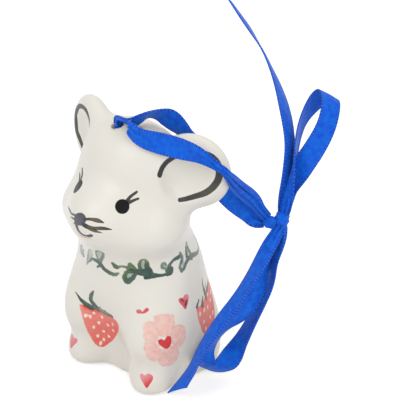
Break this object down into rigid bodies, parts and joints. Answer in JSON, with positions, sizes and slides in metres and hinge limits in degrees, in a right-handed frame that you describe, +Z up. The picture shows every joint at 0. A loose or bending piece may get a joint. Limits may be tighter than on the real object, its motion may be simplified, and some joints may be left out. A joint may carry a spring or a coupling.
{
  "type": "mouse figurine",
  "caption": "Sitting mouse ornament of glazed ceramic with big round ears, painted fruit and leaves, and a blue satin ribbon tied in a bow.",
  "frame": {"origin": "middle of the figure's flat base, on the surface that it stands on", "axes": "+Z up from the base to the crown, -Y the way the mouse faces, +X the mouse's left"},
  "size_m": [0.0639, 0.0715, 0.0946],
  "materials": {
    "glazed_ceramic": "clear gloss glaze over off-white clay with underglaze painting",
    "satin_ribbon": "satin ribbon with fine cross ribs and woven edges"
  },
  "bodies": {
    "root": {"mouse_figure": "glazed_ceramic", "ribbon_bight": "satin_ribbon", "hanger_near_strand": "satin_ribbon", "hanger_far_strand": "satin_ribbon", "ribbon_knot": "satin_ribbon", "bow_wrap": "satin_ribbon", "bow_loop_upper": "satin_ribbon", "bow_loop_lower": "satin_ribbon", "bow_tail_upper": "satin_ribbon", "bow_tail_lower": "satin_ribbon"}
  },
  "joints": []
}
